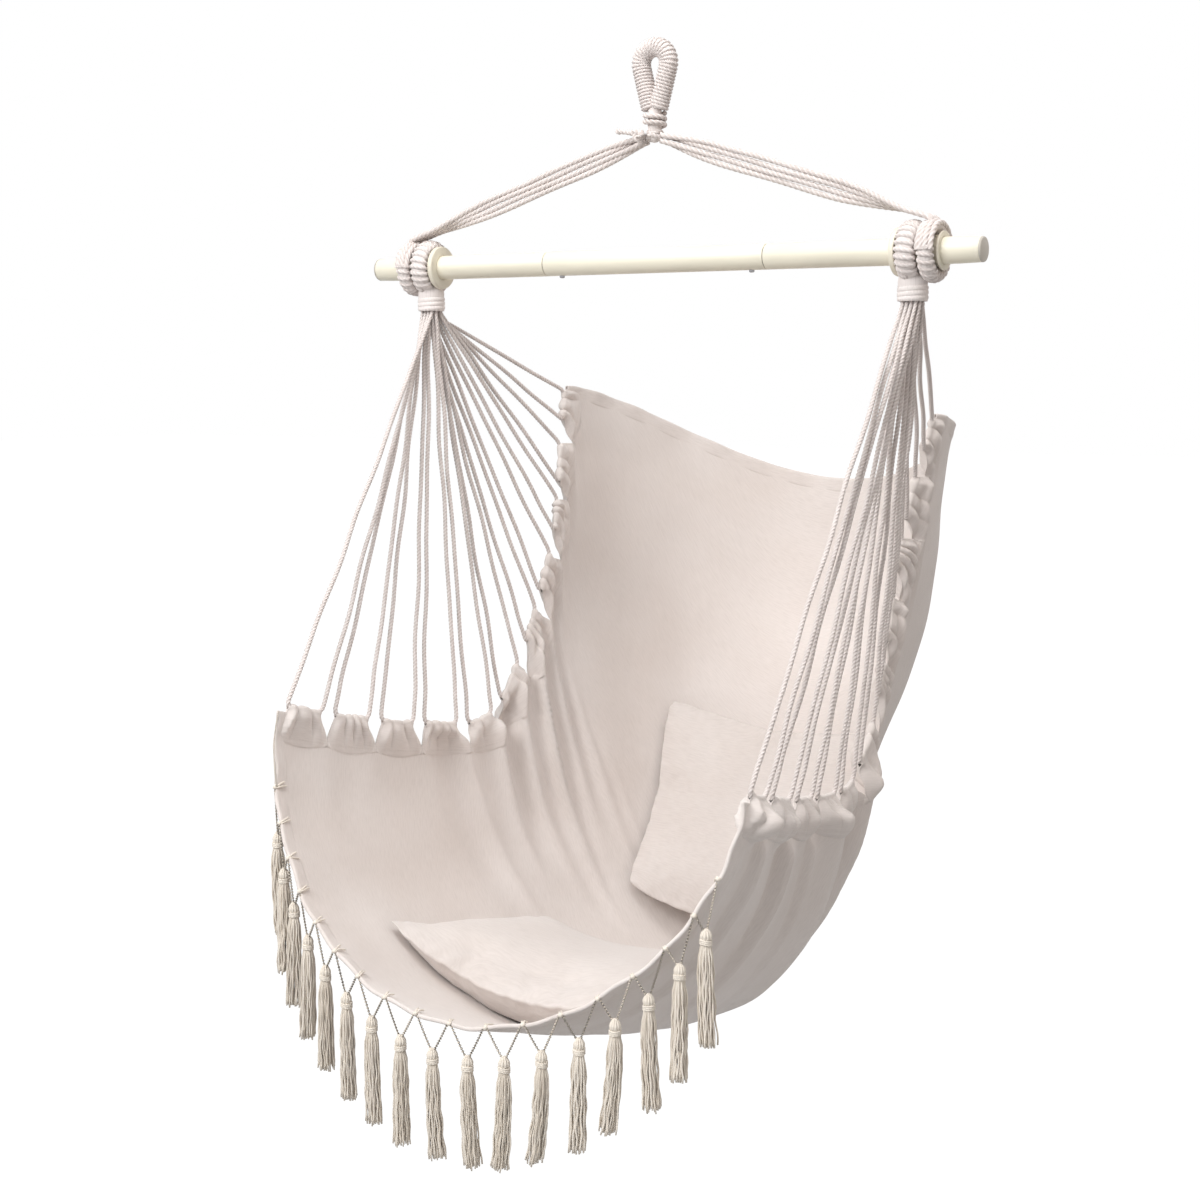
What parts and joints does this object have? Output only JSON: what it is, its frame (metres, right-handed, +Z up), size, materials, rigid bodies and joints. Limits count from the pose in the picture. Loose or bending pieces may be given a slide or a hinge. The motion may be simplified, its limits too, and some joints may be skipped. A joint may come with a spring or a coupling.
{
  "type": "hammock chair",
  "caption": "Hanging cotton hammock chair: a gathered cloth seat on fanned cords and a sleeved metal spreader bar, with a rope eye, loose cushions and a tasselled front hem.",
  "frame": {"origin": "the point inside the rope eye where the hook bears, at rest, in the middle of the bar", "axes": "+Z up along the hanging load, +X along the spreader bar to the right of someone facing the seat, -Y towards the open front where the sitter's knees are"},
  "size_m": [1, 1.189, 1.4674],
  "materials": {
    "rope_cotton": "twisted natural cotton cord, matte",
    "seat_cotton": "slubby plain-woven cotton canvas, matte, washed",
    "cushion_cotton": "slubby plain-woven cotton canvas, matte, filled",
    "tassel_cotton": "loose soft cotton strands, matte",
    "bar_paint": "cream powder coat on steel tube, satin",
    "cap_plastic": "moulded cream plastic, satin",
    "button_steel": "bright zinc plate"
  },
  "bodies": {
    "eye": {"eye_rope": "rope_cotton", "eye_whipping": "rope_cotton"},
    "neck": {"neck_wrap": "rope_cotton"},
    "knot": {"stopper_knot": "rope_cotton"},
    "bridle": {"bridle_left": "rope_cotton", "bridle_right": "rope_cotton", "bridle_whipping_left": "rope_cotton", "bridle_whipping_right": "rope_cotton"},
    "bar": {"bar_tube_left": "bar_paint", "bar_tube_middle": "bar_paint", "bar_tube_right": "bar_paint", "end_cap_left": "cap_plastic", "end_cap_right": "cap_plastic", "bush_left": "cap_plastic", "bush_right": "cap_plastic", "snap_spring_left": "button_steel", "snap_spring_right": "button_steel"},
    "button_left": {"snap_button_left": "button_steel"},
    "button_right": {"snap_button_right": "button_steel"},
    "seat": {"seat_loop_left": "rope_cotton", "seat_loop_right": "rope_cotton", "seat_whipping_left": "rope_cotton", "seat_whipping_right": "rope_cotton", "harness_cord_left_1": "rope_cotton", "harness_cord_left_2": "rope_cotton", "harness_cord_left_3": "rope_cotton", "harness_cord_left_4": "rope_cotton", "harness_cord_left_5": "rope_cotton", "harness_cord_left_6": "rope_cotton", "harness_cord_right_1": "rope_cotton", "harness_cord_right_2": "rope_cotton", "harness_cord_right_3": "rope_cotton", "harness_cord_right_4": "rope_cotton", "harness_cord_right_5": "rope_cotton", "harness_cord_right_6": "rope_cotton", "seat_fabric": "seat_cotton"},
    "seat_pad": {"seat_cushion": "cushion_cotton"},
    "back_pad": {"back_cushion": "cushion_cotton"},
    "tassel_body_01": {"tassel_01": "tassel_cotton"},
    "tassel_body_02": {"tassel_02": "tassel_cotton"},
    "tassel_body_03": {"tassel_03": "tassel_cotton"},
    "tassel_body_04": {"tassel_04": "tassel_cotton"},
    "tassel_body_05": {"tassel_05": "tassel_cotton"},
    "tassel_body_06": {"tassel_06": "tassel_cotton"},
    "tassel_body_07": {"tassel_07": "tassel_cotton"},
    "tassel_body_08": {"tassel_08": "tassel_cotton"},
    "tassel_body_09": {"tassel_09": "tassel_cotton"},
    "tassel_body_10": {"tassel_10": "tassel_cotton"},
    "tassel_body_11": {"tassel_11": "tassel_cotton"},
    "tassel_body_12": {"tassel_12": "tassel_cotton"},
    "tassel_body_13": {"tassel_13": "tassel_cotton"},
    "tassel_body_14": {"tassel_14": "tassel_cotton"},
    "tassel_body_15": {"tassel_15": "tassel_cotton"},
    "tassel_body_16": {"tassel_16": "tassel_cotton"},
    "tassel_body_17": {"tassel_17": "tassel_cotton"}
  },
  "joints": [
    {"name": "neck_twist", "type": "hinge", "parent": "eye", "child": "neck", "pos_m": [0, 0, -0.1095], "axis": [0, 0, 1], "range_deg": [-90, 90]},
    {"name": "neck_rock", "type": "hinge", "parent": "neck", "child": "knot", "pos_m": [0, 0, -0.1095], "axis": [1, 0, 0], "range_deg": [-15, 15]},
    {"name": "neck_sway", "type": "hinge", "parent": "knot", "child": "bridle", "pos_m": [0, 0, -0.1095], "axis": [0, 1, 0], "range_deg": [-12, 12]},
    {"name": "bar_spin", "type": "hinge", "parent": "bridle", "child": "bar", "pos_m": [0, 0, -0.286], "axis": [1, 0, 0], "continuous": true},
    {"name": "seat_swing", "type": "hinge", "parent": "bridle", "child": "seat", "pos_m": [0, 0, -0.286], "axis": [1, 0, 0], "range_deg": [-20, 20]},
    {"name": "button_press_left", "type": "slide", "parent": "bar", "child": "button_left", "axis": [0, 0, 1], "range_m": [0, 0.0035], "stiffness_N_per_m": 600, "springref_m": -0.002, "deforming": ["snap_spring_left"]},
    {"name": "button_press_right", "type": "slide", "parent": "bar", "child": "button_right", "axis": [0, 0, 1], "range_m": [0, 0.0035], "stiffness_N_per_m": 600, "springref_m": -0.002, "deforming": ["snap_spring_right"]},
    {"name": "seat_pad_lift", "type": "slide", "parent": "seat", "child": "seat_pad", "axis": [0, 0, 1], "range_m": [0, 0.15]},
    {"name": "back_pad_lift", "type": "slide", "parent": "seat", "child": "back_pad", "axis": [0, -0.3998, 0.9166], "range_m": [0, 0.12]},
    {"name": "tassel_swing_01", "type": "hinge", "parent": "seat", "child": "tassel_body_01", "pos_m": [-0.33136, -0.4571, -1.03805], "axis": [-0.4284, 0.3293, 0.8415], "range_deg": [-5, 35]},
    {"name": "tassel_swing_02", "type": "hinge", "parent": "seat", "child": "tassel_body_02", "pos_m": [-0.3067, -0.47426, -1.08138], "axis": [-0.513, 0.3203, 0.7964], "range_deg": [-5, 35]},
    {"name": "tassel_swing_03", "type": "hinge", "parent": "seat", "child": "tassel_body_03", "pos_m": [-0.27573, -0.49053, -1.1207], "axis": [-0.6484, 0.2977, 0.7007], "range_deg": [-5, 35]},
    {"name": "tassel_swing_04", "type": "hinge", "parent": "seat", "child": "tassel_body_04", "pos_m": [-0.24007, -0.50575, -1.15649], "axis": [-0.7073, 0.2769, 0.6505], "range_deg": [-5, 35]},
    {"name": "tassel_swing_05", "type": "hinge", "parent": "seat", "child": "tassel_body_05", "pos_m": [-0.19887, -0.51854, -1.18643], "axis": [-0.8416, 0.2127, 0.4964], "range_deg": [-5, 35]},
    {"name": "tassel_swing_06", "type": "hinge", "parent": "seat", "child": "tassel_body_06", "pos_m": [-0.15424, -0.52982, -1.21275], "axis": [-0.8416, 0.2127, 0.4964], "range_deg": [-5, 35]},
    {"name": "tassel_swing_07", "type": "hinge", "parent": "seat", "child": "tassel_body_07", "pos_m": [-0.10725, -0.53866, -1.23404], "axis": [-0.9491, 0.1144, 0.2935], "range_deg": [-5, 35]},
    {"name": "tassel_swing_08", "type": "hinge", "parent": "seat", "child": "tassel_body_08", "pos_m": [-0.05648, -0.54361, -1.24725], "axis": [-0.9739, 0.0762, 0.2138], "range_deg": [-5, 35]},
    {"name": "tassel_swing_09", "type": "hinge", "parent": "seat", "child": "tassel_body_09", "pos_m": [-0.00465, -0.54615, -1.25555], "axis": [-0.9958, 0.0151, 0.0907], "range_deg": [-5, 35]},
    {"name": "tassel_swing_10", "type": "hinge", "parent": "seat", "child": "tassel_body_10", "pos_m": [0.0477, -0.54429, -1.25491], "axis": [-0.9921, -0.0776, -0.0986], "range_deg": [-5, 35]},
    {"name": "tassel_swing_11", "type": "hinge", "parent": "seat", "child": "tassel_body_11", "pos_m": [0.10001, -0.53978, -1.24881], "axis": [-0.9863, -0.0947, -0.1352], "range_deg": [-5, 35]},
    {"name": "tassel_swing_12", "type": "hinge", "parent": "seat", "child": "tassel_body_12", "pos_m": [0.14918, -0.5311, -1.23367], "axis": [-0.8824, -0.223, -0.4144], "range_deg": [-5, 35]},
    {"name": "tassel_swing_13", "type": "hinge", "parent": "seat", "child": "tassel_body_13", "pos_m": [0.19597, -0.51927, -1.2117], "axis": [-0.8824, -0.223, -0.4144], "range_deg": [-5, 35]},
    {"name": "tassel_swing_14", "type": "hinge", "parent": "seat", "child": "tassel_body_14", "pos_m": [0.23938, -0.50589, -1.18558], "axis": [-0.7526, -0.2901, -0.5911], "range_deg": [-5, 35]},
    {"name": "tassel_swing_15", "type": "hinge", "parent": "seat", "child": "tassel_body_15", "pos_m": [0.27713, -0.4899, -1.1525], "axis": [-0.6847, -0.3143, -0.6576], "range_deg": [-5, 35]},
    {"name": "tassel_swing_16", "type": "hinge", "parent": "seat", "child": "tassel_body_16", "pos_m": [0.30922, -0.47271, -1.11467], "axis": [-0.5168, -0.3388, -0.7862], "range_deg": [-5, 35]},
    {"name": "tassel_swing_17", "type": "hinge", "parent": "seat", "child": "tassel_body_17", "pos_m": [0.33452, -0.45468, -1.07206], "axis": [-0.4476, -0.3441, -0.8254], "range_deg": [-5, 35]}
  ]
}
